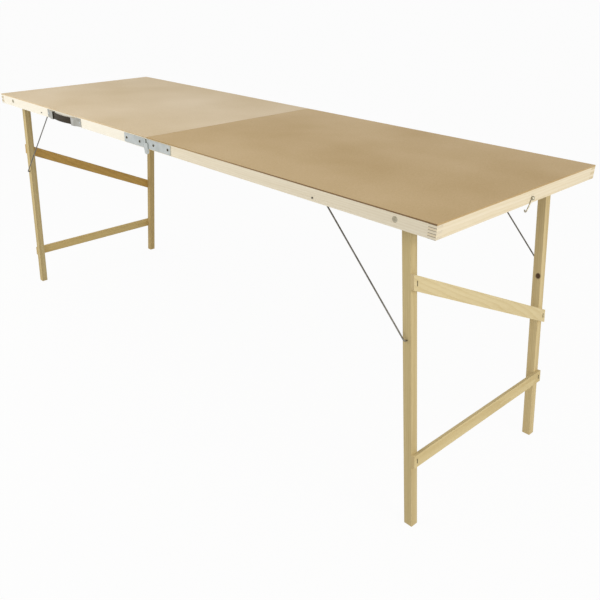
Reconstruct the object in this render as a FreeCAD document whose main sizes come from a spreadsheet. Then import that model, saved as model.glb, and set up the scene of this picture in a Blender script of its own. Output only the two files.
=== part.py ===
"""Folding trestle table: two framed half tops hinged together, each on a folding leg trestle.

Lengths are millimetres and angles are degrees. The table stands opened out on the floor plane,
with its length along X, its front towards -Y and +Z up. The origin lies on the floor, under the
middle of the outline.
"""
import FreeCAD
import Part
import math
import os
import re
import Sketcher

# Number of interlocking fingers in each comb joint of the frames
FINGERS = 5
# A coordinate smaller than this is taken as lying on the sketch's axis
TINY = 1e-9

SIZES = {
    # The whole table, opened out and standing
    "table_length": 1800,
    "table_width": 590,
    "table_height": 710,
    "seam_gap": 1,
    # Each half top: a hardboard sheet on a comb-jointed frame
    "sheet_thick": 3,
    "rail_depth": 27,
    "rail_thick": 18,
    "meeting_thick": 12,
    # Square legs with a round upper end, turning between the rails
    "leg_side": 20,
    "leg_gap": 15,
    "leg_clear": 1,
    "leg_lean_angle": 7.2,
    "pivot_inset": 91,
    # Thin battens stapled across each pair of legs
    "batten_width": 30,
    "batten_thick": 8,
    "lower_rail_height": 170,
    "brace_front_drop": 144,
    "brace_back_drop": 372,
    # The left trestle's battens sit lower, to lie beside the right one's in the closed case
    "batten_step": 46,
    "staple_crown": 11,
    "staple_wire": 1,
    "staple_length": 20,
    # Bolt, spacer, washer and nut that each leg turns on
    "bolt_dia": 6,
    "bolt_fit": 0.06,
    "bolt_head_dia": 12,
    "bolt_head_height": 3,
    "bolt_end": 1.5,
    "spacer_dia": 10,
    "washer_dia": 13,
    "washer_thick": 1.2,
    "nut_flats": 10,
    "nut_height": 5,
    "pivot_gap": 0.2,
    # Bent wire stays from the rails to the legs
    "stay_dia": 3.4,
    "stay_bend": 4,
    "stay_fit": 0.08,
    "stay_inset": 209,
    "stay_drop": 22,
    "stay_reach": 252,
    "stay_proud": 2,
    "stay_hook_gap": 0.4,
    # Riveted plate hinges on the front and back faces
    "leaf_length": 106,
    "leaf_height": 24,
    "leaf_thick": 2,
    "leaf_lift": 2,
    "leaf_seam_gap": 1,
    "ear_clear": 0.8,
    "ear_overlap": 0.3,
    "ear_blend": 9,
    "tongue_height": 14,
    "joggle_gap": 0.3,
    "joggle_start": 15,
    "joggle_end": 9,
    "rivet_dia": 5,
    "rivet_fit": 0.05,
    "rivet_gap": 0.1,
    "rivet_head_dia": 10,
    "rivet_head_height": 2.2,
    "rivet_tail_height": 1.5,
    "rivet_rail_clear": 1,
    # Wood screws of the hinges and the handle
    "screw_dia": 3.5,
    "screw_fit": 0.06,
    "screw_head_dia": 7,
    "screw_head_height": 2,
    "screw_length": 15,
    "screw_near": 32,
    "screw_far": 95,
    # Carrying handle: a bowed strap held in two pressed caps
    "strap_width": 19,
    "strap_thick": 3,
    "strap_span": 140,
    "strap_bow": 10,
    "strap_gap": 0.3,
    "strap_play": 1.4,
    "cap_mouth_span": 115,
    "cap_length": 34,
    "cap_flat": 17,
    "cap_wall": 1,
    "flange_length": 13,
    "flange_thick": 1.2,
    # Hook that holds the folded table shut, with the screws at both ends
    "hook_offset": 27,
    "hook_drop": 20,
    "hook_wire": 2.8,
    "hook_gap": 0.3,
    "hook_shank": 27,
    "curl_radius": 5,
    "curl_angle": 150,
    "hook_tilt_angle": 35,
    "pin_dia": 3.5,
    "pin_fit": 0.08,
    "pin_head_dia": 8,
    "pin_head_height": 2.4,
    "pin_head_gap": 0.2,
    "pin_depth": 13,
    # How far each cut runs past the face it opens
    "cut_overrun": 6,
}

WORKED_OUT = {
    "half_length": "table_length / 2",
    "half_width": "table_width / 2",
    "half_gap": "seam_gap / 2",
    "rail_top": "table_height - sheet_thick",
    "rail_bottom": "rail_top - rail_depth",
    "rail_middle": "rail_top - rail_depth / 2",
    "finger_height": f"rail_depth / {FINGERS}",
    "leg_half": "leg_side / 2",
    "leg_outer_y": "half_width - rail_thick - leg_gap",
    "leg_centre_y": "leg_outer_y - leg_half",
    "lean_sin": "sin(leg_lean_angle)",
    "lean_cos": "cos(leg_lean_angle)",
    "lean_tan": "tan(leg_lean_angle)",
    "pivot_x": "half_length - pivot_inset",
    "pivot_z": "rail_top - leg_clear - leg_half",
    "trestle_x": "pivot_x + leg_half * lean_cos",
    "trestle_z": "pivot_z + leg_half * lean_sin",
    "lower_rail_y": "(lower_rail_height - trestle_z) / lean_cos",
    "brace_front_y": "(table_height - brace_front_drop - trestle_z) / lean_cos",
    "brace_back_y": "(table_height - brace_back_drop - trestle_z) / lean_cos",
    "brace_slope": "(brace_back_y - brace_front_y) / (2 * leg_centre_y)",
    "brace_half": "batten_width / 2 * sqrt(1 + brace_slope ^ 2)",
    "bolt_hole": "bolt_dia / 2 + bolt_fit",
    "leg_depth": "rail_thick + leg_gap",
    "washer_depth": "leg_depth + leg_side + pivot_gap",
    "nut_depth": "washer_depth + washer_thick",
    "bolt_length": "nut_depth + nut_height + bolt_end",
    "stay_x": "pivot_x - stay_inset",
    "stay_z": "table_height - stay_drop",
    "stay_hole": "stay_dia / 2 + stay_fit",
    "stay_end_x": "pivot_x + stay_reach * lean_sin",
    "stay_end_z": "pivot_z - stay_reach * lean_cos",
    "stay_length": "sqrt((stay_end_x - stay_x) ^ 2 + (stay_end_z - stay_z) ^ 2)",
    "stay_in": "stay_proud + rail_thick + leg_gap / 2",
    "stay_tip": "stay_proud + leg_depth - stay_hook_gap",
    "hinge_drop": "rivet_head_dia / 2 + rivet_rail_clear",
    "hinge_z": "rail_bottom - hinge_drop",
    "leaf_foot": "hinge_drop + leaf_lift",
    "leaf_top": "leaf_foot + leaf_height",
    "leaf_middle": "leaf_foot + leaf_height / 2",
    "tongue_top": "leaf_foot + tongue_height",
    "inner_ear": "leaf_foot - ear_clear",
    "outer_ear": "inner_ear + ear_overlap",
    "blend_x": "sqrt((outer_ear + ear_blend) ^ 2 - (leaf_foot - ear_blend) ^ 2)",
    "blend_share": "outer_ear / (outer_ear + ear_blend)",
    "leaf_step": "leaf_thick + joggle_gap",
    "rivet_hole": "rivet_dia / 2 + rivet_fit",
    "rivet_reach": "leaf_step + leaf_thick + rivet_gap",
    "rivet_length": "rivet_reach + rivet_gap",
    "hinge_reach": "rivet_reach + rivet_head_height",
    "screw_hole": "screw_dia / 2 + screw_fit",
    "strap_radius": "(strap_span ^ 2 / 4 + strap_bow ^ 2) / (2 * strap_bow)",
    "strap_centre": "strap_radius - strap_bow - strap_gap",
    "strap_swell_share": "1 + strap_thick / strap_radius",
    "handle_x": "half_length / 2",
    "handle_reach": "strap_gap + strap_bow + strap_thick",
    "mouth_reach": "sqrt(strap_radius ^ 2 - cap_mouth_span ^ 2 / 4) - strap_centre",
    "cap_height": "mouth_reach + strap_thick + strap_play + cap_wall",
    "cap_width": "strap_width + 2 * (strap_play + cap_wall)",
    "mouth_x": "cap_mouth_span / 2",
    "cap_end_x": "mouth_x + cap_length",
    "flange_screw_x": "cap_end_x + flange_length / 2",
    "hook_z": "table_height - hook_drop",
    "hook_eye": "pin_dia / 2 + pin_fit + hook_wire / 2",
    "hook_layer": "hook_gap + hook_wire / 2",
    "pin_stand": "hook_gap + hook_wire + pin_head_gap",
    "pin_length": "pin_stand + pin_depth",
    "pin_hole": "pin_dia / 2 + pin_fit",
    "hook_reach": "sqrt(hook_shank ^ 2 + curl_radius ^ 2)",
    "catch_z": "2 * hinge_z - hook_z + hook_reach",
    "middle_line": "(handle_reach - hinge_reach) / 2",
}

# Direction of each half from the seam, and of each long face from the middle
SIDES = {"right": 1, "left": -1}
FACES = {"front": -1, "back": 1}

doc = FreeCAD.newDocument("TrestleTable")
sheet = doc.addObject("Spreadsheet::Sheet", "Sizes")
finished = []


def fill_sheet():
    """Write the driving sizes as numbers, then what is worked out from them."""
    formulas = {alias: f"={formula}" for alias, formula in WORKED_OUT.items()}
    for row, (alias, content) in enumerate({**SIZES, **formulas}.items(), start=1):
        sheet.set(f"A{row}", alias)
        sheet.set(f"B{row}", str(content))
        sheet.setAlias(f"B{row}", alias)
    doc.recompute()


def size(formula):
    """The present value of a formula over the sheet's sizes."""
    return float(sheet.evalExpression(formula))


def linked(formula):
    """The formula as another object writes it, with each size taken from the sheet."""
    return re.sub(r"\b[a-z]+_\w+", r"Sizes.\g<0>", formula)


def times(factor, formula):
    """The formula seen from one side or the other."""
    return f"{factor} * ({formula})"


# Frames in which the pieces are drawn

def wall_turn(face):
    """Along a long face: x is X times the face's sign, y is up and z runs inwards."""
    return FreeCAD.Rotation(FreeCAD.Vector(face, 0, 0), FreeCAD.Vector(0, 0, 1),
                            FreeCAD.Vector(0, -face, 0), "XYZ")


def end_turn(side):
    """Across an end: x is Y times minus the side's sign, y is up and z runs inwards."""
    return FreeCAD.Rotation(FreeCAD.Vector(0, -side, 0), FreeCAD.Vector(0, 0, 1),
                            FreeCAD.Vector(-side, 0, 0), "XYZ")


def trestle_turn(side):
    """On the outer faces of a pair of legs: x is Y times the side's sign, y is up the leg."""
    sine, cosine = size("lean_sin"), size("lean_cos")
    return FreeCAD.Rotation(FreeCAD.Vector(0, side, 0), FreeCAD.Vector(-side * sine, 0, cosine),
                            FreeCAD.Vector(side * cosine, 0, sine), "XYZ")


def place(piece, x, y, z, turn=FreeCAD.Rotation()):
    """Put a piece in the table; y is measured from the table's middle line."""
    piece.Placement = FreeCAD.Placement(FreeCAD.Vector(), turn)
    for axis, formula in zip("xyz", (x, f"{y} + middle_line", z)):
        piece.setExpression(f"Placement.Base.{axis}", linked(formula))


def place_on_wall(piece, face, x, z, out="0"):
    """Put a piece on the outer face of a long rail, or that far out from it."""
    place(piece, x, times(face, f"half_width + {out}"), z, wall_turn(face))


# Sketches whose points are held by the sheet's sizes

def new_body(label):
    body = doc.addObject("PartDesign::Body", label)
    body.Label = label
    return body


def new_sketch(body, role="XY_Plane", lift="0"):
    """An empty sketch on one of the body's own planes, lifted along the plane's normal."""
    sketch = body.newObject("Sketcher::SketchObject", "Sketch")
    plane = next(item for item in body.Origin.OriginFeatures if item.Role == role)
    sketch.AttachmentSupport = (plane, "")
    sketch.MapMode = "FlatFace"
    sketch.setExpression("AttachmentOffset.Base.z", linked(lift))
    return sketch


def spot(x, y):
    return FreeCAD.Vector(size(x), size(y), 0)


def held(kind, edge, point, formula):
    """A constraint that keeps one coordinate of a point at its formula."""
    if abs(size(formula)) < TINY:
        axis = -2 if kind == "DistanceX" else -1
        return Sketcher.Constraint("PointOnObject", edge, point, axis), None
    return Sketcher.Constraint(kind, -1, 1, edge, point, size(formula)), formula


def constrain(sketch, pairs):
    """Add constraints and bind those that have a formula."""
    first = sketch.ConstraintCount
    sketch.addConstraint([constraint for constraint, formula in pairs])
    for number, (constraint, formula) in enumerate(pairs, start=first):
        if formula:
            sketch.setExpression(f"Constraints[{number}]", linked(formula))


def bend(start, end, centre, turn):
    """The arc from start to end round the centre, anticlockwise where turn is 1."""
    if turn < 0:
        start, end = end, start
    begin = math.atan2(start.y - centre.y, start.x - centre.x)
    sweep = (math.atan2(end.y - centre.y, end.x - centre.x) - begin) % (2 * math.pi)
    circle = Part.Circle(centre, FreeCAD.Vector(0, 0, 1), start.distanceToPoint(centre))
    return Part.ArcOfCircle(circle, begin, begin + sweep)


def draw(sketch, corners, closed=True):
    """Draw an outline through the corners, each a pair of formulas.

    A corner of five items bends to the next one: the third and fourth are the bend's centre, and
    the fifth is 1 for an anticlockwise bend and -1 for a clockwise one.
    """
    first = sketch.GeometryCount
    count = len(corners) if closed else len(corners) - 1
    pairs = []
    ends = []
    for number in range(count):
        corner = corners[number]
        start = spot(*corner[:2])
        end = spot(*corners[(number + 1) % len(corners)][:2])
        edge = first + number
        if len(corner) == 2:
            sketch.addGeometry(Part.LineSegment(start, end), False)
            ends.append((1, 2))
        else:
            sketch.addGeometry(bend(start, end, spot(*corner[2:4]), corner[4]), False)
            ends.append((1, 2) if corner[4] > 0 else (2, 1))
            level = abs(end.x - start.x) > abs(end.y - start.y)
            kind = "DistanceY" if level else "DistanceX"
            pairs.append(held(kind, edge, 3, corner[3] if level else corner[2]))
        pairs.append(held("DistanceX", edge, ends[-1][0], corner[0]))
        pairs.append(held("DistanceY", edge, ends[-1][0], corner[1]))
    for number in range(count if closed else count - 1):
        following = (number + 1) % count
        joined = Sketcher.Constraint("Coincident", first + number, ends[number][1],
                                     first + following, ends[following][0])
        pairs.append((joined, None))
    if not closed:
        for kind, formula in zip(("DistanceX", "DistanceY"), corners[-1]):
            pairs.append(held(kind, first + count - 1, ends[-1][1], formula))
    constrain(sketch, pairs)


def draw_circle(sketch, x, y, radius):
    edge = sketch.GeometryCount
    sketch.addGeometry(Part.Circle(spot(x, y), FreeCAD.Vector(0, 0, 1), size(radius)), False)
    constrain(sketch, [
        held("DistanceX", edge, 3, x),
        held("DistanceY", edge, 3, y),
        (Sketcher.Constraint("Radius", edge, size(radius)), radius),
    ])


# Features

def pad(body, sketch, length, both_ways=False):
    feature = body.newObject("PartDesign::Pad", "Pad")
    feature.Profile = sketch
    feature.SideType = "Symmetric" if both_ways else "One side"
    feature.setExpression("Length", linked(length))
    return feature


def cut(body, sketch, depth=None, both_ways=False):
    """Cut upwards from the sketch's plane, right through where no depth is given."""
    feature = body.newObject("PartDesign::Pocket", "Pocket")
    feature.Profile = sketch
    feature.Reversed = True
    feature.SideType = "Symmetric" if both_ways else "One side"
    if depth is None:
        feature.Type = "ThroughAll"
    else:
        feature.setExpression("Length", linked(depth))
    return feature


def drill(body, places, radius, depth=None, lift="0"):
    """Round holes from the sketch's plane inwards, at pairs of formulas."""
    sketch = new_sketch(body, lift=lift)
    for x, y in places:
        draw_circle(sketch, x, y, radius)
    return cut(body, sketch, depth)


def turn_round(body, corners):
    """Revolve a half section, given as radius and depth, about the body's own z axis."""
    sketch = new_sketch(body, "XZ_Plane")
    draw(sketch, corners)
    feature = body.newObject("PartDesign::Revolution", "Revolution")
    feature.Profile = sketch
    feature.ReferenceAxis = (sketch, ["V_Axis"])
    return feature


def run_wire(body, corners, radius, lift="0"):
    """A round wire along an open path that sets off along the body's y axis."""
    path = new_sketch(body)
    draw(path, corners, closed=False)
    section = new_sketch(body, "XZ_Plane", lift)
    draw_circle(section, "0", "0", radius)
    doc.recompute()
    feature = body.newObject("PartDesign::AdditivePipe", "Pipe")
    feature.Profile = section
    feature.Spine = (path, [])
    return feature


def finish(piece):
    finished.append(piece)
    return piece


def group(label, pieces):
    """Identical fasteners kept together as one sub-part of separate solids."""
    compound = doc.addObject("Part::Compound", label)
    compound.Label = label
    compound.Links = pieces
    return finish(compound)


# Half tops

def make_sheet(name, side):
    board = doc.addObject("Part::Box", f"{name}_top_sheet")
    board.Label = f"{name}_top_sheet"
    board.setExpression("Length", linked("half_length - half_gap"))
    board.setExpression("Width", linked("table_width"))
    board.setExpression("Height", linked("sheet_thick"))
    place(board, "half_gap" if side > 0 else "-half_length", "-half_width", "rail_top")
    finish(board)


def comb_end(reach, notch, parity):
    """Corners up one comb-jointed end, whose odd or even fingers stop short by the notch."""
    corners = []
    for finger in range(FINGERS):
        x = reach if finger % 2 == parity else f"{reach} - {notch}"
        corners.append((x, f"{finger} * finger_height"))
        corners.append((x, f"{finger + 1} * finger_height"))
    return corners


def make_long_rail(name, side, face):
    """Front or back rail of a half, drilled for the leg bolt, the stay and the screws."""
    label = f"{name}_{'front' if face < 0 else 'back'}_rail"
    body = new_body(label)
    along = side * face
    sketch = new_sketch(body)
    corners = comb_end("half_length", "rail_thick", 0)
    corners += reversed(comb_end("half_gap", "(-meeting_thick)", 0))
    draw(sketch, [(times(along, x), y) for x, y in corners])
    pad(body, sketch, "rail_thick")
    drill(body, [(times(along, "pivot_x"), "pivot_z - rail_bottom")], "bolt_hole")
    drill(body, [(times(along, "stay_x"), "stay_z - rail_bottom")], "stay_hole")
    screws = [(times(along, x), "leaf_middle - hinge_drop") for x in ("screw_near", "screw_far")]
    if side < 0 and face < 0:
        for end in (1, -1):
            screws.append((f"handle_x + {times(end, 'flange_screw_x')}", "rail_depth / 2"))
    drill(body, screws, "screw_hole", "screw_length + screw_fit")
    place_on_wall(body, face, "0", "rail_bottom")
    finish(body)


def make_cross_rail(label, side, outer_face, thick, hole=None):
    """Rail from front to back, comb-jointed between the long rails."""
    body = new_body(label)
    sketch = new_sketch(body)
    corners = comb_end("half_width", "rail_thick", 1)
    corners += [(times(-1, x), y) for x, y in reversed(comb_end("half_width", "rail_thick", 1))]
    draw(sketch, corners)
    pad(body, sketch, thick)
    if hole:
        drill(body, [hole], "pin_hole", "pin_depth + pin_fit")
    place(body, times(side, outer_face), "0", "rail_bottom", end_turn(side))
    finish(body)


def make_half_top(name, side):
    make_sheet(name, side)
    for face in FACES.values():
        make_long_rail(name, side, face)
    height = "hook_z" if side > 0 else "catch_z"
    hole = (times(-side, "hook_offset"), f"{height} - rail_bottom")
    make_cross_rail(f"{name}_end_rail", side, "half_length", "rail_thick", hole)
    make_cross_rail(f"{name}_meeting_rail", side, "half_gap + meeting_thick", "meeting_thick")


# Fasteners

def domed_pin(label, head_dia, head_height, shank_dia, length, tail=()):
    """A pin along z with a domed head before z = 0; the tail's corners widen its far end."""
    body = new_body(label)
    radius = f"{shank_dia} / 2"
    centre = f"{head_dia} ^ 2 / (8 * {head_height}) - {head_height} / 2"
    corners = [("0", f"-{head_height}", "0", centre, 1), (f"{head_dia} / 2", "0"), (radius, "0")]
    corners += [(radius, length), *tail]
    corners.append(("0", tail[-1][1] if tail else length))
    turn_round(body, corners)
    return body


def collar(label, outline, depth, height):
    """A washer, spacer or nut round the bolt, from a depth behind the rail's outer face."""
    body = new_body(label)
    sketch = new_sketch(body, lift=depth)
    if isinstance(outline, str):
        draw_circle(sketch, "0", "0", outline)
    else:
        draw(sketch, outline)
    draw_circle(sketch, "0", "0", "bolt_hole")
    pad(body, sketch, height)
    return body


def hexagon(flats):
    """Corners of a nut that is so wide across its flats."""
    reach = f"{flats} / sqrt(3)"
    turns = [60 * corner for corner in range(6)]
    return [(f"{reach} * cos({turn})", f"{reach} * sin({turn})") for turn in turns]


def make_pivots(name, side):
    """Bolt, spacer, washer and nut at the top of each leg of one trestle."""
    sets = {"bolts": [], "spacers": [], "washers": [], "nuts": []}
    for face_name, face in FACES.items():
        pieces = {
            "bolts": domed_pin(f"{name}_{face_name}_bolt", "bolt_head_dia", "bolt_head_height",
                               "bolt_dia", "bolt_length"),
            "spacers": collar(f"{name}_{face_name}_spacer", "spacer_dia / 2", "rail_thick",
                              "leg_gap - pivot_gap"),
            "washers": collar(f"{name}_{face_name}_washer", "washer_dia / 2", "washer_depth",
                              "washer_thick"),
            "nuts": collar(f"{name}_{face_name}_nut", hexagon("nut_flats"), "nut_depth",
                           "nut_height"),
        }
        for kind, piece in pieces.items():
            place_on_wall(piece, face, times(side, "pivot_x"), "pivot_z")
            sets[kind].append(piece)
    for kind, pieces in sets.items():
        group(f"{name}_pivot_{kind}", pieces)


def wood_screw(label):
    return domed_pin(label, "screw_head_dia", "screw_head_height", "screw_dia",
                     "screw_length")


# Plate hinges

def hinge_holes(body, along, reach):
    """Holes for a leaf's two screws and the rivet in its ear, from so far out of the rail."""
    lift = f"-{reach}"
    screws = [(times(along, x), "leaf_middle") for x in ("screw_near", "screw_far")]
    drill(body, screws, "screw_hole", lift=lift)
    drill(body, [("0", "0")], "rivet_hole", lift=lift)


def make_inner_leaf(label, side, face):
    """Flat leaf whose round ear hangs below the rail, next to the frame."""
    body = new_body(label)
    along = side * face
    sketch = new_sketch(body, lift="-leaf_thick")
    notch = "sqrt(inner_ear ^ 2 - leaf_seam_gap ^ 2)"
    draw(sketch, [
        (times(along, "leaf_length"), "leaf_foot"),
        (times(along, "leaf_length"), "leaf_top"),
        (times(along, "leaf_seam_gap"), "leaf_top"),
        (times(along, "leaf_seam_gap"), notch, "0", "0", along),
        (times(along, "inner_ear"), "0"),
        (times(along, "inner_ear"), "leaf_foot"),
    ])
    pad(body, sketch, "leaf_thick")
    hinge_holes(body, along, "leaf_thick")
    place_on_wall(body, face, "0", "hinge_z")
    finish(body)


def make_outer_leaf(label, side, face):
    """Leaf joggled outwards, with a low tongue and an ear that lap over the inner leaf."""
    body = new_body(label)
    along = side * face
    strip = new_sketch(body, "XZ_Plane")
    inside = [("leaf_length", "0"), ("joggle_start", "0"), ("joggle_end", "-leaf_step"),
              ("-outer_ear", "-leaf_step")]
    outside = [(x, f"{z} - leaf_thick") for x, z in reversed(inside)]
    draw(strip, [(times(along, x), z) for x, z in inside + outside])
    pad(body, strip, "2 * (leaf_top + cut_overrun)", both_ways=True)
    trim = new_sketch(body)
    beyond = "leaf_length + cut_overrun"
    above = "leaf_top + 2 * cut_overrun"
    draw(trim, [(times(-1, beyond), times(-1, above)), (beyond, times(-1, above)),
                (beyond, above), (times(-1, beyond), above)])
    draw(trim, [
        (times(along, "leaf_length"), "leaf_foot"),
        (times(along, "leaf_length"), "leaf_top"),
        (times(along, "leaf_seam_gap"), "leaf_top"),
        (times(along, "leaf_seam_gap"), "tongue_top"),
        (times(-along, "outer_ear"), "tongue_top"),
        (times(-along, "outer_ear"), "0", "0", "0", along),
        (times(along, "blend_x * blend_share"), "(leaf_foot - ear_blend) * blend_share",
         times(along, "blend_x"), "leaf_foot - ear_blend", -along),
        (times(along, "blend_x"), "leaf_foot"),
    ])
    cut(body, trim, both_ways=True)
    hinge_holes(body, along, "rivet_reach")
    place_on_wall(body, face, "0", "hinge_z")
    finish(body)


def make_hinges():
    """A hinge on each long face, with its screws and its rivet."""
    screws = {name: [] for name in SIDES}
    for face_name, face in FACES.items():
        make_inner_leaf(f"right_{face_name}_hinge_leaf", SIDES["right"], face)
        make_outer_leaf(f"left_{face_name}_hinge_leaf", SIDES["left"], face)
        tail = [("rivet_head_dia / 2", "rivet_length"),
                ("rivet_head_dia / 2", "rivet_length + rivet_tail_height")]
        rivet = domed_pin(f"{face_name}_hinge_rivet", "rivet_head_dia", "rivet_head_height",
                          "rivet_dia", "rivet_length", tail)
        place_on_wall(rivet, face, "0", "hinge_z", "rivet_reach")
        finish(rivet)
        for name, side in SIDES.items():
            for x in ("screw_near", "screw_far"):
                screw = wood_screw(f"{name}_{face_name}_{x}")
                place_on_wall(screw, face, times(side, x), "hinge_z + leaf_middle", "leaf_thick")
                screws[name].append(screw)
    for name, pieces in screws.items():
        group(f"{name}_hinge_screws", pieces)


# Folding trestles

def make_leg(name, side, face_name, face):
    """Square leg with a round top, leaning outwards and cut level at the floor."""
    body = new_body(f"{name}_{face_name}_leg")
    along = side * face
    sketch = new_sketch(body, lift="leg_depth")
    floor_outer = "trestle_x + trestle_z * lean_tan"
    inner_x = "pivot_x - leg_half * lean_cos"
    inner_z = "pivot_z - leg_half * lean_sin"
    draw(sketch, [
        (times(along, "trestle_x"), "trestle_z"),
        (times(along, floor_outer), "0"),
        (times(along, f"{inner_x} + ({inner_z}) * lean_tan"), "0"),
        (times(along, inner_x), inner_z, times(along, "pivot_x"), "pivot_z", -along),
    ])
    pad(body, sketch, "leg_side")
    drill(body, [(times(along, "pivot_x"), "pivot_z")], "bolt_hole", lift="leg_depth")
    stay_end = (times(along, "stay_end_x"), "stay_end_z")
    drill(body, [stay_end], "stay_hole", "leg_half", lift="leg_depth")
    place_on_wall(body, face, "0", "0")
    finish(body)


def make_batten(label, side, front, back, half):
    """Batten across the outer faces of two legs, with its middle line's height at each leg."""
    body = new_body(label)
    sketch = new_sketch(body)
    slope = f"(({back}) - ({front})) / (2 * leg_centre_y)"
    corners = []
    for face, edges in ((-1, (1, -1)), (1, (-1, 1))):
        middle = f"(({front}) + ({back})) / 2 + {face} * leg_outer_y * {slope}"
        for edge in edges:
            corners.append((times(side * face, "leg_outer_y"), f"{middle} + {edge} * {half}"))
    draw(sketch, corners)
    pad(body, sketch, "batten_thick")
    place(body, times(side, "trestle_x"), "0", "trestle_z", trestle_turn(side))
    finish(body)


def make_staple(label, side, x, y):
    """Wire staple in line with the leg, driven through a batten into it."""
    body = new_body(label)
    sketch = new_sketch(body, "YZ_Plane")
    reach, inner = "staple_crown / 2", "staple_crown / 2 - staple_wire"
    tip = "staple_wire - staple_length"
    draw(sketch, [
        (times(-1, reach), "staple_wire"), (times(-1, reach), tip), (times(-1, inner), tip),
        (times(-1, inner), "0"), (inner, "0"), (inner, tip), (reach, tip),
        (reach, "staple_wire"),
    ])
    pad(body, sketch, "staple_wire", both_ways=True)
    turn = trestle_turn(side)
    along = f"({y})"
    stand = "(leg_half + batten_thick)"
    place(body, times(side, f"pivot_x + {stand} * lean_cos - {along} * lean_sin"), x,
          f"pivot_z + {stand} * lean_sin + {along} * lean_cos", turn)
    return body


def make_trestle(name, side):
    """Two legs, the lower rail, the diagonal brace and the staples that hold them."""
    for face_name, face in FACES.items():
        make_leg(name, side, face_name, face)
    step = "0" if side > 0 else "batten_step / lean_cos"
    rail_y = f"lower_rail_y - {step}"
    battens = {
        "lower_rail": (rail_y, rail_y, "batten_width / 2"),
        "brace": (f"brace_front_y - {step}", f"brace_back_y - {step}", "brace_half"),
    }
    staples = []
    for kind, (front, back, half) in battens.items():
        make_batten(f"{name}_{kind}", side, front, back, half)
        for face, y in ((-1, front), (1, back)):
            staple = make_staple(f"{name}_{kind}_staple", side, times(face, "leg_centre_y"), y)
            staples.append(staple)
    group(f"{name}_trestle_staples", staples)


def make_stay(name, side, face_name, face):
    """Bent wire from a hole in the rail down to the leg, hooked at both ends."""
    body = new_body(f"{name}_{face_name}_stay")
    run_wire(body, [
        ("0", "0"),
        ("0", "stay_in - stay_bend", "stay_bend", "stay_in - stay_bend", -1),
        ("stay_bend", "stay_in"),
        ("stay_length - stay_bend", "stay_in", "stay_length - stay_bend", "stay_in + stay_bend", 1),
        ("stay_length", "stay_in + stay_bend"),
        ("stay_length", "stay_tip"),
    ], "stay_dia / 2")
    down = FreeCAD.Vector(side * size("stay_end_x - stay_x"), 0, size("stay_end_z - stay_z"))
    inwards = FreeCAD.Vector(0, -face, 0)
    turn = FreeCAD.Rotation(down, inwards, down.cross(inwards), "XYZ")
    place(body, times(side, "stay_x"), times(face, "half_width + stay_proud"), "stay_z", turn)
    finish(body)


# Carrying handle on the left front rail

def make_cap(label, end):
    """Pressed cap, open towards the strap and the rail, with a flange for its screw."""
    body = new_body(label)
    shell = new_sketch(body, "XZ_Plane")
    flange_x = "cap_end_x + flange_length"
    draw(shell, [(times(end, x), z) for x, z in (
        ("mouth_x", "0"), (flange_x, "0"), (flange_x, "-flange_thick"),
        ("cap_end_x", "-flange_thick"), ("mouth_x + cap_flat", "-cap_height"),
        ("mouth_x", "-cap_height"))])
    pad(body, shell, "cap_width", both_ways=True)
    hollow = new_sketch(body, "XZ_Plane")
    roof = "cap_wall - cap_height"
    draw(hollow, [(times(end, x), z) for x, z in (
        ("mouth_x - cut_overrun", "cut_overrun"), ("cap_end_x - 2 * cap_wall", "cut_overrun"),
        ("cap_end_x - 2 * cap_wall", "0"), ("mouth_x + cap_flat - cap_wall", roof),
        ("mouth_x - cut_overrun", roof))])
    cut(body, hollow, "cap_width - 2 * cap_wall", both_ways=True)
    drill(body, [(times(end, "flange_screw_x"), "0")], "screw_hole", lift="-cap_height")
    place_on_wall(body, FACES["front"], "-handle_x", "rail_middle")
    finish(body)


def make_strap():
    """Strap that bows outwards between the caps, leaving room for the fingers."""
    body = new_body("handle_strap")
    sketch = new_sketch(body, "XZ_Plane")
    tip_x = "strap_span / 2 * strap_swell_share"
    tip_z = "strap_centre - (strap_centre + strap_gap) * strap_swell_share"
    draw(sketch, [
        ("strap_span / 2", "-strap_gap", "0", "strap_centre", -1),
        ("-strap_span / 2", "-strap_gap"),
        (times(-1, tip_x), tip_z, "0", "strap_centre", 1),
        (tip_x, tip_z),
    ])
    pad(body, sketch, "strap_width", both_ways=True)
    place_on_wall(body, FACES["front"], "-handle_x", "rail_middle")
    finish(body)


def make_handle():
    make_strap()
    screws = []
    for name, side in SIDES.items():
        make_cap(f"handle_{name}_cap", -side)
        screw = wood_screw(f"handle_{name}_screw")
        place_on_wall(screw, FACES["front"], f"{times(side, 'flange_screw_x')} - handle_x",
                      "rail_middle", "flange_thick")
        screws.append(screw)
    group("handle_screws", screws)


# Hook on the right end and its catch on the left end

def end_pin(label, side, y, z):
    """Round-headed screw that stands out of an end rail by the hook's thickness."""
    pin = domed_pin(label, "pin_head_dia", "pin_head_height", "pin_dia", "pin_length")
    place(pin, times(side, "half_length + pin_stand"), y, z, end_turn(side))
    finish(pin)


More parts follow.
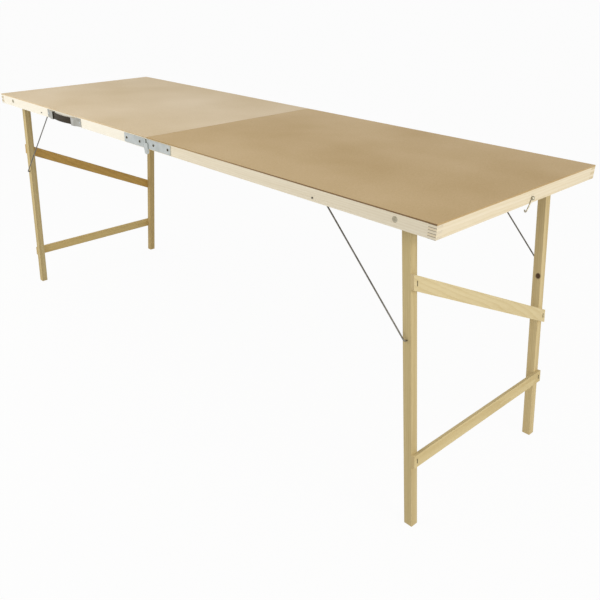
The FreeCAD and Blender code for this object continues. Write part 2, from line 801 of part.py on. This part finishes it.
def make_hook():
    """Wire hook with a closed eye, hanging on its screw and curled at the other end."""
    body = new_body("end_hook")
    eye = new_sketch(body, "XZ_Plane")
    draw_circle(eye, "hook_eye", "0", "hook_wire / 2")
    ring = body.newObject("PartDesign::Revolution", "Revolution")
    ring.Profile = eye
    ring.ReferenceAxis = (eye, ["V_Axis"])
    run_wire(body, [
        ("0", "-hook_eye"),
        ("0", "-hook_shank", "curl_radius", "-hook_shank", 1),
        ("curl_radius * (1 - cos(curl_angle))", "-hook_shank - curl_radius * sin(curl_angle)"),
    ], "hook_wire / 2", lift="hook_eye")
    tilt = FreeCAD.Rotation(FreeCAD.Vector(0, 0, 1), size("hook_tilt_angle"))
    turn = end_turn(SIDES["right"]).multiply(tilt)
    place(body, "half_length + hook_layer", "hook_offset", "hook_z", turn)
    finish(body)
    end_pin("hook_screw", SIDES["right"], "hook_offset", "hook_z")
    end_pin("catch_screw", SIDES["left"], "hook_offset", "catch_z")


def check_and_write():
    """Stop if anything failed or a cut removed nothing, then write each sub-part."""
    doc.recompute()
    for item in doc.Objects:
        if "Invalid" in item.State or "Error" in item.State:
            raise RuntimeError(f"{item.Label} failed: {item.getStatusString()}")
    for pocket in doc.findObjects("PartDesign::Pocket"):
        if pocket.Shape.Volume >= pocket.BaseFeature.Shape.Volume:
            raise RuntimeError(f"{pocket.getParentGeoFeatureGroup().Label}: a cut removes nothing")
    os.makedirs("parts", exist_ok=True)
    for piece in finished:
        if piece.Shape.isNull() or not piece.Shape.isValid():
            raise RuntimeError(f"{piece.Label} has no sound shape")
    for piece in finished:
        piece.Shape.exportStep(f"parts/{piece.Label}.step")
    print(len(finished), "sub-parts written")


fill_sheet()
for half, direction in SIDES.items():
    make_half_top(half, direction)
    make_pivots(half, direction)
    make_trestle(half, direction)
    for edge_name, edge_sign in FACES.items():
        make_stay(half, direction, edge_name, edge_sign)
make_hinges()
make_handle()
make_hook()
check_and_write()
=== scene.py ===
import math

import bmesh
import bpy
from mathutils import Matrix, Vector


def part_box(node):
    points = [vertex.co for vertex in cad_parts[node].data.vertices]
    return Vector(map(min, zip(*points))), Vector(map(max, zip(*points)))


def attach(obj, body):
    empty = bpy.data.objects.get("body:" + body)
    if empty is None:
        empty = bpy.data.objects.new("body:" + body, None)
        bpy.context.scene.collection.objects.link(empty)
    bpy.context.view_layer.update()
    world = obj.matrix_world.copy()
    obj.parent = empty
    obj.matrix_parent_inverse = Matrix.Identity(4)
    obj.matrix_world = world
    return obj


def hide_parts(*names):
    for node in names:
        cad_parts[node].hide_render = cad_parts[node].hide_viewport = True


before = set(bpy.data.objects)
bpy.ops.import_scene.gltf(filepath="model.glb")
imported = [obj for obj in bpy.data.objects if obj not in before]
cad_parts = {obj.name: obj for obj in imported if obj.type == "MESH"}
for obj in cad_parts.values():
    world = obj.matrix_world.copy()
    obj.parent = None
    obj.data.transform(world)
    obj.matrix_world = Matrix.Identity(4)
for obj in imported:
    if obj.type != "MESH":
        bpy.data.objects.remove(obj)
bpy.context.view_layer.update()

MM = 0.001

# Places that the patterns need, from the right end rail of the frame
rail_low, rail_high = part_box("right_end_rail")
MIDDLE_Y = (rail_low.y + rail_high.y) / 2
UNDERSIDE = rail_low.z
TABLE_END = rail_high.x
RAIL_THICK = rail_high.x - rail_low.x
COMB_FINGERS = 5
FINGER = (rail_high.z - rail_low.z) / COMB_FINGERS

# How far the grain is turned: by the lean of the legs, and by a brace's drop in millimetres between them
LEG_LEAN = math.radians(7.2)
BRACE_DROP, BRACE_SPAN = 228, 504
BRACE_SLOPE = math.atan2(BRACE_DROP, BRACE_SPAN)

# The scale at which a wave pattern repeats once a millimetre
WAVE_PER_MM = 314.16
# A face looks along an axis where its normal has more than this share of it
FACING = 0.5


def linear(hex_colour):
    """An sRGB hex colour as the linear colour that a socket takes."""
    channels = [int(hex_colour[i:i + 2], 16) / 255 for i in (1, 3, 5)]
    return [c / 12.92 if c <= 0.04045 else ((c + 0.055) / 1.055) ** 2.4 for c in channels] + [1.0]


def add(tree, kind, inputs=None, **settings):
    """Add a node; an input takes a value or another node's output."""
    node = tree.nodes.new("ShaderNode" + kind)
    for name, value in settings.items():
        setattr(node, name, value)
    for socket, value in (inputs or {}).items():
        if isinstance(value, bpy.types.NodeSocket):
            tree.links.new(value, node.inputs[socket])
        else:
            node.inputs[socket].default_value = value
    return node


def new_material(name):
    """A new material, with its tree, its surface shader and its texture coordinates."""
    material = bpy.data.materials.new(name)
    material.use_nodes = True
    tree = material.node_tree
    return material, tree, tree.nodes["Principled BSDF"], add(tree, "TexCoord")


def blend(tree, share, first, second):
    """The colour between two others, each a hex value or a node's output."""
    colours = [linear(c) if isinstance(c, str) else c for c in (first, second)]
    return add(tree, "Mix", {0: share, 6: colours[0], 7: colours[1]}, data_type="RGBA").outputs[2]


def along_grain(axis, across, length):
    """Pattern scale for marks so wide and so long in millimetres, stretched along one axis."""
    scale = [1000 / across] * 3
    scale[axis] = 1000 / length
    return scale


def comb_joints_painted_shade(tree, coords):
    """Where the joint lines between the comb's fingers show on the long faces, as a share: painted shade
    for the shadow in the gaps between the fingers.
    """
    place = add(tree, "SeparateXYZ", {0: coords.outputs["Object"]})
    facing = add(tree, "SeparateXYZ", {0: coords.outputs["Normal"]})
    outwards = add(tree, "Math", {0: facing.outputs[1]}, operation="ABSOLUTE")
    long_face = add(tree, "Math", {0: outwards.outputs[0], 1: FACING}, operation="GREATER_THAN")
    from_middle = add(tree, "Math", {0: place.outputs[0]}, operation="ABSOLUTE")
    at_end = add(tree, "Math", {0: from_middle.outputs[0], 1: TABLE_END - RAIL_THICK},
                 operation="GREATER_THAN")
    corner = add(tree, "Math", {0: at_end.outputs[0], 1: long_face.outputs[0]}, operation="MULTIPLY")
    # Height above a joint, counted from half a finger below it so that both sides are near
    height = add(tree, "Math", {0: place.outputs[2], 1: UNDERSIDE - FINGER / 2}, operation="SUBTRACT")
    in_finger = add(tree, "Math", {0: height.outputs[0], 1: FINGER}, operation="MODULO")
    from_joint = add(tree, "Math", {0: in_finger.outputs[0], 1: FINGER / 2}, operation="SUBTRACT")
    gap = add(tree, "Math", {0: from_joint.outputs[0]}, operation="ABSOLUTE")
    # A line is full to 0.3 mm from its joint and gone at 0.8 mm, wider than a real one so that it shows
    line = add(tree, "MapRange", {"Value": gap.outputs[0], "From Min": 0.3 * MM, "From Max": 0.8 * MM,
                                  "To Min": 0.75, "To Max": 0.0})
    return add(tree, "Math", {0: corner.outputs[0], 1: line.outputs[0]}, operation="MULTIPLY").outputs[0]


def knot_share(tree, coords, axis, spot, radius):
    """How much a knot darkens the wood round its middle, drawn out along the grain."""
    # Its heart is dark over 0.55 of the radius, and the rest fades into the wood
    heart, darkness = 0.55, 0.96
    drawn_out = [1.0, 1.0, 1.0]
    drawn_out[axis] = 0.85
    reach = add(tree, "VectorMath", {0: coords.outputs["Object"], 1: spot}, operation="SUBTRACT")
    reach = add(tree, "VectorMath", {0: reach.outputs[0], 1: drawn_out}, operation="MULTIPLY")
    reach = add(tree, "VectorMath", {0: reach.outputs[0]}, operation="LENGTH")
    return add(tree, "MapRange", {"Value": reach.outputs["Value"], "From Min": radius * heart,
                                  "From Max": radius, "To Min": darkness, "To Max": 0.0},
               interpolation_type="SMOOTHSTEP").outputs[0]


def spruce_grain(tree, coords, grain_axis, shift, turn):
    """The grain of a stick cut from some place in the trunk, and its fibres alone."""
    axis = "XYZ".index(grain_axis)
    placed = add(tree, "Mapping", {"Vector": coords.outputs["Object"], "Rotation": turn,
                                   "Location": [s * MM for s in shift]})
    # The trunk wanders by some 6 mm over half a metre
    slow = add(tree, "Mapping", {"Vector": placed.outputs[0], "Scale": along_grain(axis, 45, 420)})
    wander = add(tree, "TexNoise", {"Vector": slow.outputs[0], "Scale": 1.0, "Detail": 2.0})
    centred = add(tree, "VectorMath", {0: wander.outputs["Color"], 1: (0.5, 0.5, 0.5)},
                  operation="SUBTRACT")
    drift = add(tree, "VectorMath", {0: centred.outputs[0], "Scale": 14 * MM}, operation="SCALE")
    ringed = add(tree, "VectorMath", {0: placed.outputs[0], 1: drift.outputs[0]}, operation="ADD")
    # Growth rings 4.5 mm apart, which is coarse for spruce, so that they show at arm's length
    rings = add(tree, "TexWave", {"Vector": ringed.outputs[0], "Scale": WAVE_PER_MM / 4.5,
                                  "Distortion": 0.6, "Detail": 1.0},
                wave_type="RINGS", rings_direction=grain_axis, wave_profile="SAW")
    late_wood = add(tree, "MapRange", {"Value": rings.outputs["Fac"], "From Min": 0.35, "From Max": 1.0},
                    interpolation_type="SMOOTHSTEP")
    # Fibres about 0.7 mm wide and 40 mm long, and streaks of heart and sap wood about 16 mm wide
    fine = add(tree, "Mapping", {"Vector": placed.outputs[0], "Scale": along_grain(axis, 0.7, 40)})
    fibres = add(tree, "TexNoise", {"Vector": fine.outputs[0], "Scale": 1.0, "Detail": 3.0})
    broad = add(tree, "Mapping", {"Vector": placed.outputs[0], "Scale": along_grain(axis, 16, 600)})
    streaks = add(tree, "TexNoise", {"Vector": broad.outputs[0], "Scale": 1.0, "Detail": 2.0})
    ring_share, streak_share = 0.42, 0.9
    grain = add(tree, "Math", {0: late_wood.outputs[0], 1: ring_share, 2: fibres.outputs["Fac"]},
                operation="MULTIPLY_ADD")
    grain = add(tree, "Math", {0: streaks.outputs["Fac"], 1: streak_share, 2: grain.outputs[0]},
                operation="MULTIPLY_ADD")
    return grain.outputs[0], fibres.outputs["Fac"]


def planed_spruce(name, grain_axis, pale, deep, shift, turn=(0, 0, 0), combed=False, knots=()):
    """Spruce, sawn and planed and left bare.

    Its growth rings are cut lengthwise, so they show as long faint lines that wander with the trunk.
    The plane leaves it matt, with fine fibres, and the sawn ends are a little darker.
    """
    material, tree, surface, coords = new_material(name)
    axis = "XYZ".index(grain_axis)
    grain, fibres = spruce_grain(tree, coords, grain_axis, shift, turn)
    tone = add(tree, "MapRange", {"Value": grain, "From Min": 0.55, "From Max": 1.75})
    colour = blend(tree, tone.outputs[0], pale, deep)
    # End-grain faces are darkened, less on the comb-jointed rails
    end_grain_darkening = 0.12 if combed else 0.3
    facing = add(tree, "SeparateXYZ", {0: coords.outputs["Normal"]})
    square_on = add(tree, "Math", {0: facing.outputs[axis]}, operation="ABSOLUTE")
    end_grain = add(tree, "MapRange", {"Value": square_on.outputs[0], "From Min": 0.6, "From Max": 0.8,
                                       "To Max": end_grain_darkening})
    colour = blend(tree, end_grain.outputs[0], colour, "#A8895A")
    # The comb's joint lines, darkened with painted shade in their gaps
    if combed:
        colour = blend(tree, comb_joints_painted_shade(tree, coords), colour, "#4A341C")
    for spot, radius in knots:
        middle = [s * MM for s in spot]
        colour = blend(tree, knot_share(tree, coords, axis, middle, radius * MM), colour, "#442A14")
    tree.links.new(colour, surface.inputs["Base Color"])
    rough = add(tree, "MapRange", {"Value": fibres, "To Min": 0.58, "To Max": 0.78})
    tree.links.new(rough.outputs[0], surface.inputs["Roughness"])
    relief = add(tree, "Bump", {"Height": grain, "Strength": 0.35, "Distance": 0.15 * MM})
    tree.links.new(relief.outputs[0], surface.inputs["Normal"])
    surface.inputs["Specular IOR Level"].default_value = 0.3
    return material


def sawn_edge_and_painted_light(tree, coords, facing):
    """How dark a sheet's sawn edge is: its own dark brown to the right, paled by painted light on the left
    and on the ends.
    """
    upright = add(tree, "Math", {0: facing.outputs[2]}, operation="ABSOLUTE")
    edge = add(tree, "Math", {0: upright.outputs[0], 1: FACING}, operation="LESS_THAN")
    lengthwise = add(tree, "Math", {0: facing.outputs[0]}, operation="ABSOLUTE")
    end_edge = add(tree, "Math", {0: lengthwise.outputs[0], 1: FACING}, operation="GREATER_THAN")
    place = add(tree, "SeparateXYZ", {0: coords.outputs["Object"]})
    # Painted light: the edge darkens from 250 mm left of the seam to 500 mm right of it
    dark = add(tree, "MapRange", {"Value": place.outputs[0], "From Min": -250 * MM, "From Max": 500 * MM,
                                  "To Min": 0.03, "To Max": 0.85})
    # Painted light: the end edges lose three quarters of their darkness
    dark = add(tree, "Math", {0: end_edge.outputs[0], 1: -0.75, 2: dark.outputs[0]},
               operation="MULTIPLY_ADD", use_clamp=True)
    return add(tree, "Math", {0: edge.outputs[0], 1: dark.outputs[0]}, operation="MULTIPLY").outputs[0]


def pressed_hardboard(name, face, deep, shift):
    """Hardboard: wood fibre pressed hot on a wire screen.

    The pressed face is smooth and faintly mottled, with a slight sheen. The back is darker and keeps the
    print of the screen. The sawn edges are dark brown on the right half, and painted light pales them on
    the left half and on the ends.
    """
    material, tree, surface, coords = new_material(name)
    placed = add(tree, "Mapping", {"Vector": coords.outputs["Object"],
                                   "Location": [s * MM for s in shift]})
    # Fibre flecks about 3 mm across, coarser than real ones so that they show
    flecks = add(tree, "TexNoise", {"Vector": placed.outputs[0], "Scale": 1000 / 3, "Detail": 4.0,
                                    "Roughness": 0.65})
    # Cloudy patches about 260 mm across from uneven pressing and handling
    clouds = add(tree, "TexNoise", {"Vector": placed.outputs[0], "Scale": 1000 / 260, "Detail": 2.0})
    mottle = add(tree, "Math", {0: flecks.outputs["Fac"], 1: 0.8, 2: clouds.outputs["Fac"]},
                 operation="MULTIPLY_ADD")
    mottle_low, mottle_high = 0.5, 1.3
    tone = add(tree, "MapRange", {"Value": mottle.outputs[0], "From Min": mottle_low,
                                  "From Max": mottle_high})
    colour = blend(tree, tone.outputs[0], face, deep)
    # The print of the screen on the back, at 2.4 mm instead of about 1.6 mm so that it shows
    prints = [add(tree, "TexWave", {"Vector": placed.outputs[0], "Scale": WAVE_PER_MM / 2.4},
                  bands_direction=axis) for axis in "XY"]
    screen = add(tree, "Math", {0: prints[0].outputs["Fac"], 1: prints[1].outputs["Fac"]},
                 operation="MULTIPLY")
    facing = add(tree, "SeparateXYZ", {0: coords.outputs["Normal"]})
    below = add(tree, "Math", {0: facing.outputs[2], 1: -FACING}, operation="LESS_THAN")
    back_tone = add(tree, "MapRange", {"Value": screen.outputs[0], "To Min": 0.0, "To Max": 0.45})
    back = blend(tree, back_tone.outputs[0], "#8F7146", "#B1925F")
    colour = blend(tree, below.outputs[0], colour, back)
    # The sawn edges: dark brown, paled by painted light on the left half and on the ends
    colour = blend(tree, sawn_edge_and_painted_light(tree, coords, facing), colour, "#6A4F30")
    tree.links.new(colour, surface.inputs["Base Color"])
    rough = add(tree, "MapRange", {"Value": mottle.outputs[0], "From Min": mottle_low,
                                   "From Max": mottle_high, "To Min": 0.46, "To Max": 0.62})
    tree.links.new(rough.outputs[0], surface.inputs["Roughness"])
    # The print stands twice as high as the flecks
    printed = add(tree, "Math", {0: screen.outputs[0], 1: below.outputs[0]}, operation="MULTIPLY")
    height = add(tree, "Math", {0: printed.outputs[0], 1: 2.0, 2: flecks.outputs["Fac"]},
                 operation="MULTIPLY_ADD")
    relief = add(tree, "Bump", {"Height": height.outputs[0], "Strength": 0.15, "Distance": 0.12 * MM})
    tree.links.new(relief.outputs[0], surface.inputs["Normal"])
    surface.inputs["Specular IOR Level"].default_value = 0.3
    return material


def cloudy_metal(name, bright, dull, patch, rough_low, rough_high):
    """Steel whose plating or drawn skin is cloudy: its patches differ a little in colour and gloss."""
    material, tree, surface, coords = new_material(name)
    clouds = add(tree, "TexNoise", {"Vector": coords.outputs["Object"], "Scale": 1000 / patch,
                                    "Detail": 3.0, "Roughness": 0.6})
    spread = add(tree, "MapRange", {"Value": clouds.outputs["Fac"], "From Min": 0.3, "From Max": 0.7})
    tree.links.new(blend(tree, spread.outputs[0], bright, dull), surface.inputs["Base Color"])
    rough = add(tree, "MapRange", {"Value": spread.outputs[0], "To Min": rough_low, "To Max": rough_high})
    tree.links.new(rough.outputs[0], surface.inputs["Roughness"])
    relief = add(tree, "Bump", {"Height": clouds.outputs["Fac"], "Strength": 0.1, "Distance": 0.05 * MM})
    tree.links.new(relief.outputs[0], surface.inputs["Normal"])
    surface.inputs["Metallic"].default_value = 1.0
    return material


def grained_pvc():
    """Soft PVC moulded with a leather grain: dark brown pebbles, worn a little paler on the high spots."""
    material, tree, surface, coords = new_material("moulded_dark_pvc")
    # Pebbles 1.4 mm across, about twice the real grain, so that they show
    pebbles = add(tree, "TexVoronoi", {"Vector": coords.outputs["Object"], "Scale": 1000 / 1.4})
    # Wear in patches about 18 mm across
    wear = add(tree, "TexNoise", {"Vector": coords.outputs["Object"], "Scale": 1000 / 18, "Detail": 3.0})
    high = add(tree, "Math", {0: pebbles.outputs["Distance"], 1: -0.8, 2: wear.outputs["Fac"]},
               operation="MULTIPLY_ADD")
    tone = add(tree, "MapRange", {"Value": high.outputs[0], "From Min": -0.3, "From Max": 0.6})
    tree.links.new(blend(tree, tone.outputs[0], "#221C13", "#3A3122"), surface.inputs["Base Color"])
    rough = add(tree, "MapRange", {"Value": wear.outputs["Fac"], "To Min": 0.45, "To Max": 0.65})
    tree.links.new(rough.outputs[0], surface.inputs["Roughness"])
    relief = add(tree, "Bump", {"Height": pebbles.outputs["Distance"], "Strength": 0.4,
                                "Distance": 0.2 * MM}, invert=True)
    tree.links.new(relief.outputs[0], surface.inputs["Normal"])
    surface.inputs["Specular IOR Level"].default_value = 0.2
    return material


def dress(node, material):
    """Give a carried-over node its material."""
    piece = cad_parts[node]
    piece.data.materials.clear()
    piece.data.materials.append(material)


def finished_piece(name, bm, material, body):
    """Turn a bmesh into a piece that rides on a body."""
    bmesh.ops.recalc_face_normals(bm, faces=bm.faces)
    mesh = bpy.data.meshes.new(name)
    bm.to_mesh(mesh)
    bm.free()
    mesh.materials.append(material)
    piece = bpy.data.objects.new(name, mesh)
    bpy.context.scene.collection.objects.link(piece)
    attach(piece, body)
    return piece


def make_strap(material):
    """The carrying strap: a flat band with a rolled rim along each edge, bowed from cap to cap."""
    low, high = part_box("handle_strap")
    inner, outer, half_span = 250 * MM, 253 * MM, 70 * MM
    half_angle = math.asin(half_span / inner)
    centre = Vector(((low.x + high.x) / 2, low.y + outer, 0))
    rim, groove, rounding = 2.2 * MM, 0.7 * MM, 0.5 * MM
    slope = 1.3 * rim
    # The section as heights and radii: flat inside, sunk by the groove between the rims outside
    section = [(low.z, inner), (high.z, inner), (high.z, outer), (high.z - rim, outer),
               (high.z - slope, outer - groove), (low.z + slope, outer - groove),
               (low.z + rim, outer), (low.z, outer)]
    bm = bmesh.new()
    corners = [bm.verts.new((centre.x - r * math.sin(half_angle), centre.y - r * math.cos(half_angle), z))
               for z, r in section]
    band = [bm.edges.new((corners[i - 1], corners[i])) for i in range(len(corners))]
    bmesh.ops.spin(bm, geom=corners + band, cent=centre, axis=(0, 0, 1), angle=2 * half_angle, steps=28)
    bmesh.ops.holes_fill(bm, edges=bm.edges, sides=0)
    # Every edge that turns by more than the bow's own steps is rounded
    sharp = 0.3
    rims = [e for e in bm.edges if len(e.link_faces) == 2 and e.calc_face_angle(0) > sharp]
    bmesh.ops.bevel(bm, geom=rims, offset=rounding, affect="EDGES", segments=3, profile=0.5, material=-1)
    piece = finished_piece("carrying_strap", bm, material, "left_half")
    for face in piece.data.polygons:
        face.use_smooth = True
    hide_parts("handle_strap")


# Each stick of wood: the axis of its grain, its pale and deep colours, and where in the trunk it was cut,
# in millimetres
STICKS = {
    "right_front_rail": ("X", "#E6DDC9", "#D6C9AF", (40, 21, -12)),
    "right_back_rail": ("X", "#DFD3B8", "#CBB990", (310, -16, 9)),
    # Painted light: the left front rail is paler than the other rails, washed out by the light from the
    # left
    "left_front_rail": ("X", "#EFEBE0", "#E7DFCD", (-150, 18, 14)),
    "left_back_rail": ("X", "#E1D6BC", "#CDBB95", (90, 24, 17)),
    "right_end_rail": ("Y", "#E9DEC8", "#DACAA8", (19, 60, -11)),
    "left_end_rail": ("Y", "#E3D7BD", "#CFBD98", (-17, 210, 13)),
    "right_meeting_rail": ("Y", "#DCCEAE", "#C6B187", (22, -130, 8)),
    "left_meeting_rail": ("Y", "#DDD0B0", "#C8B38A", (-21, 340, -9)),
    "right_front_leg": ("Z", "#CBBA8D", "#B39E6E", (12, 20, 70)),
    "right_back_leg": ("Z", "#D3C193", "#BAA373", (-14, 17, 430)),
    "left_front_leg": ("Z", "#CDBC8E", "#B29B67", (15, -19, 250)),
    "left_back_leg": ("Z", "#CCB582", "#AE935B", (-11, -22, 610)),
    "right_lower_rail": ("Y", "#D5C496", "#BFAA78", (9, 55, 16)),
    "right_brace": ("Y", "#DACBA2", "#C5B182", (-8, 260, 21)),
    # Painted shade: the left trestle's lower rail and brace are deeper and more orange, for the warm shade
    # on their inner faces
    "left_lower_rail": ("Y", "#D9C287", "#BEA163", (10, -75, -18)),
    "left_brace": ("Y", "#D2AC61", "#B48D47", (-9, 150, 19)),
}
# Knots on a stick: the middle and the radius in millimetres
KNOTS = {"right_back_leg": [((845, 245.4, 439), 8)]}


def dress_wood():
    """Planed spruce for each stick, with its grain turned along legs and braces."""
    for node, (grain_axis, pale, deep, shift) in STICKS.items():
        turn = (0, 0, 0)
        if node.endswith("_leg"):
            turn = (0, LEG_LEAN if node.startswith("right") else -LEG_LEAN, 0)
        elif node.endswith("_brace"):
            turn = (BRACE_SLOPE, 0, 0)
        combed = node.endswith(("front_rail", "back_rail", "end_rail"))
        dress(node, planed_spruce("planed_spruce_" + node, grain_axis, pale, deep, shift, turn, combed,
                                  KNOTS.get(node, ())))


def dress_sheets():
    """Pressed hardboard for the tops: the left one paler with painted light and the right one deeper with
    painted shade, as the halves meet in a slight peak and the light falls from the left.
    """
    # Painted light on the left sheet and painted shade on the right sheet
    dress("right_top_sheet", pressed_hardboard("hardboard_right_painted_shade", "#CBAF7F", "#B39562", (120, 40, 0)))
    dress("left_top_sheet", pressed_hardboard("hardboard_left_painted_light", "#E0CCAB", "#CDB68E", (-300, 90, 0)))


def dress_metal():
    """Plated and drawn steel for the ironwork, and dark steel with painted shade for the screws and
    staples.
    """
    # Zinc plate, electroplated and passivated: pale grey, a little cloudy and dulled by handling
    zinc = cloudy_metal("zinc_plated_steel", "#CDD1CF", "#BDC2BF", 22, 0.38, 0.48)
    # Bare steel wire, drawn through a die and oiled: dull grey with darker stretches
    wire = cloudy_metal("drawn_steel_wire", "#86837B", "#625F57", 12, 0.4, 0.58)
    # Zinc plate passivated yellow: a brassy film, rubbed off to grey in small patches
    brassed = cloudy_metal("yellow_zinc_plated_steel", "#B8B2A0", "#8F8568", 5, 0.24, 0.38)
    # Nickel plate over pressed steel, polished: the brightest and smoothest, with soft clouds
    nickel = cloudy_metal("nickel_plated_steel", "#BFBEB7", "#A19F96", 16, 0.18, 0.3)
    # Steel painted dark as the shade in their recesses, for screws and staples: matt and a little uneven
    steel_with_painted_shade = cloudy_metal("dark_steel_painted_shade", "#6A6250", "#443D30", 3, 0.45, 0.6)
    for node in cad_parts:
        if node.endswith("_stay"):
            dress(node, wire)
        elif node in ("end_hook", "hook_screw") or node.endswith("_bolts"):
            dress(node, brassed)
        elif node.endswith("_cap"):
            dress(node, nickel)
        elif node.endswith(("hinge_screws", "_staples")):
            dress(node, steel_with_painted_shade)
        elif node not in STICKS and not node.endswith(("_sheet", "_strap")):
            dress(node, zinc)


def lamp(name, at, aim, size, watts, colour, glare):
    """A soft square studio lamp turned towards a point; without glare, metal doesn't mirror it."""
    light = bpy.data.lights.new(name, "AREA")
    light.shape, light.size, light.energy = "SQUARE", size, watts
    light.color = linear(colour)[:3]
    holder = bpy.data.objects.new(name, light)
    holder.location = at
    holder.rotation_euler = (Vector(aim) - Vector(at)).to_track_quat("-Z", "Y").to_euler()
    holder.visible_glossy = glare
    bpy.context.scene.collection.objects.link(holder)


def seen_share(tree):
    """1 for rays that show the background: to the camera, or by way of metal."""
    rays = add(tree, "LightPath")
    shown = rays.outputs["Is Camera Ray"]
    for kind in ("Is Glossy Ray", "Is Transmission Ray"):
        shown = add(tree, "Math", {0: shown, 1: rays.outputs[kind]}, operation="MAXIMUM").outputs[0]
    return shown


def make_lights():
    """A white backdrop, which lights the table a little less than it shows, and two soft lamps."""
    lamp("left_lamp", at=(-0.6, -1.6, 1.35), aim=(-0.3, -0.2, 0.65), size=2.0, watts=22,
         colour="#FFFDF8", glare=False)
    lamp("end_lamp", at=(3.1, -0.2, 1.2), aim=(0.8, 0, 0.5), size=1.6, watts=30,
         colour="#FFFBF2", glare=True)
    world = bpy.data.worlds.new("studio")
    bpy.context.scene.world = world
    world.use_nodes = True
    tree = world.node_tree
    level = add(tree, "MapRange", {"Value": seen_share(tree), "To Min": 0.6, "To Max": 1.0})
    background = tree.nodes["Background"]
    background.inputs["Color"].default_value = linear("#FFFFFF")
    tree.links.new(level.outputs[0], background.inputs["Strength"])


def make_floor():
    """Matt white studio floor: nearly as white as the backdrop, but it keeps the table's shadow."""
    half_side = 60
    bm = bmesh.new()
    bmesh.ops.create_grid(bm, x_segments=1, y_segments=1, size=half_side)
    mesh = bpy.data.meshes.new("studio_floor")
    bm.to_mesh(mesh)
    bm.free()
    floor = bpy.data.objects.new("studio_floor", mesh)
    bpy.context.scene.collection.objects.link(floor)
    material, tree, surface, _ = new_material("white_studio_floor")
    surface.inputs["Base Color"].default_value = linear("#D6D6D4")
    surface.inputs["Roughness"].default_value = 0.9
    white_share = 0.95
    share = add(tree, "Math", {0: seen_share(tree), 1: white_share}, operation="MULTIPLY")
    white = add(tree, "Emission", {"Color": linear("#FFFFFF"), "Strength": 1.0})
    mixed = add(tree, "MixShader", {0: share.outputs[0], 1: surface.outputs[0], 2: white.outputs[0]})
    tree.links.new(mixed.outputs[0], tree.nodes["Material Output"].inputs["Surface"])
    mesh.materials.append(material)


def make_camera():
    """The camera of the photograph, found from the table's corners and feet in a 600 by 600 picture."""
    picture, focal, centre_x, centre_y = 600, 689.4, 264.5, 326.9
    # Its place to the right of and in front of the table's middle, and above the floor, in metres
    to_right, to_front, eye_height = 1.5419, 1.2698, 1.1076
    tilt_down, turned = 27.856, 48.106
    lens = bpy.data.cameras.new("photo_camera")
    lens.sensor_width = 36
    lens.lens = focal / picture * lens.sensor_width
    lens.shift_x = (picture / 2 - centre_x) / picture
    lens.shift_y = (centre_y - picture / 2) / picture
    camera = bpy.data.objects.new("photo_camera", lens)
    camera.location = (to_right, MIDDLE_Y - to_front, eye_height)
    camera.rotation_euler = (math.radians(90 - tilt_down), 0, math.radians(turned))
    bpy.context.scene.collection.objects.link(camera)
    bpy.context.scene.camera = camera


dress_wood()
dress_sheets()
dress_metal()
make_strap(grained_pvc())
make_lights()
make_floor()
make_camera()
bpy.context.scene.view_settings.view_transform = "Standard"
